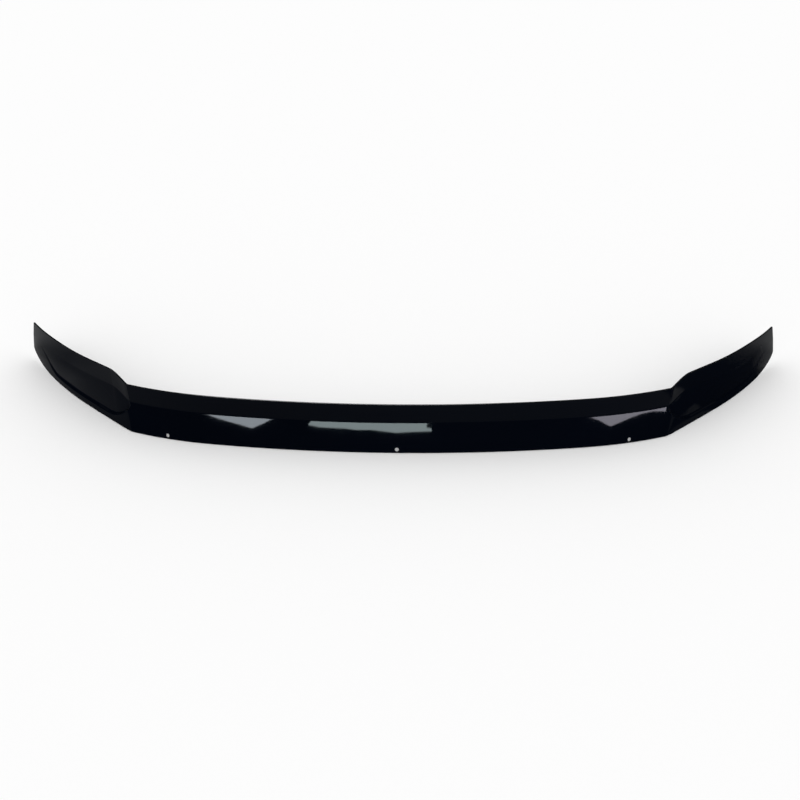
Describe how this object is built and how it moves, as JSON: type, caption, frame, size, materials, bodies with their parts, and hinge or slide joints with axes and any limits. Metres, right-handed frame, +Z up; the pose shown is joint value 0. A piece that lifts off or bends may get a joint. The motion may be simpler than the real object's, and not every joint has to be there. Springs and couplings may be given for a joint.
{
  "type": "hood bug deflector",
  "caption": "Wraparound hood bug deflector formed from one smoked acrylic sheet, with an upturned lip and a sunk pan on each wing.",
  "frame": {"origin": "bottom centre of the box, on the plane of the lower edge", "axes": "+X across the car, -Y towards the front of the car, +Z up"},
  "size_m": [1.4428, 0.2754, 0.1023],
  "materials": {
    "smoked_acrylic": "gloss"
  },
  "bodies": {
    "root": {"deflector_shell": "smoked_acrylic"}
  },
  "joints": []
}
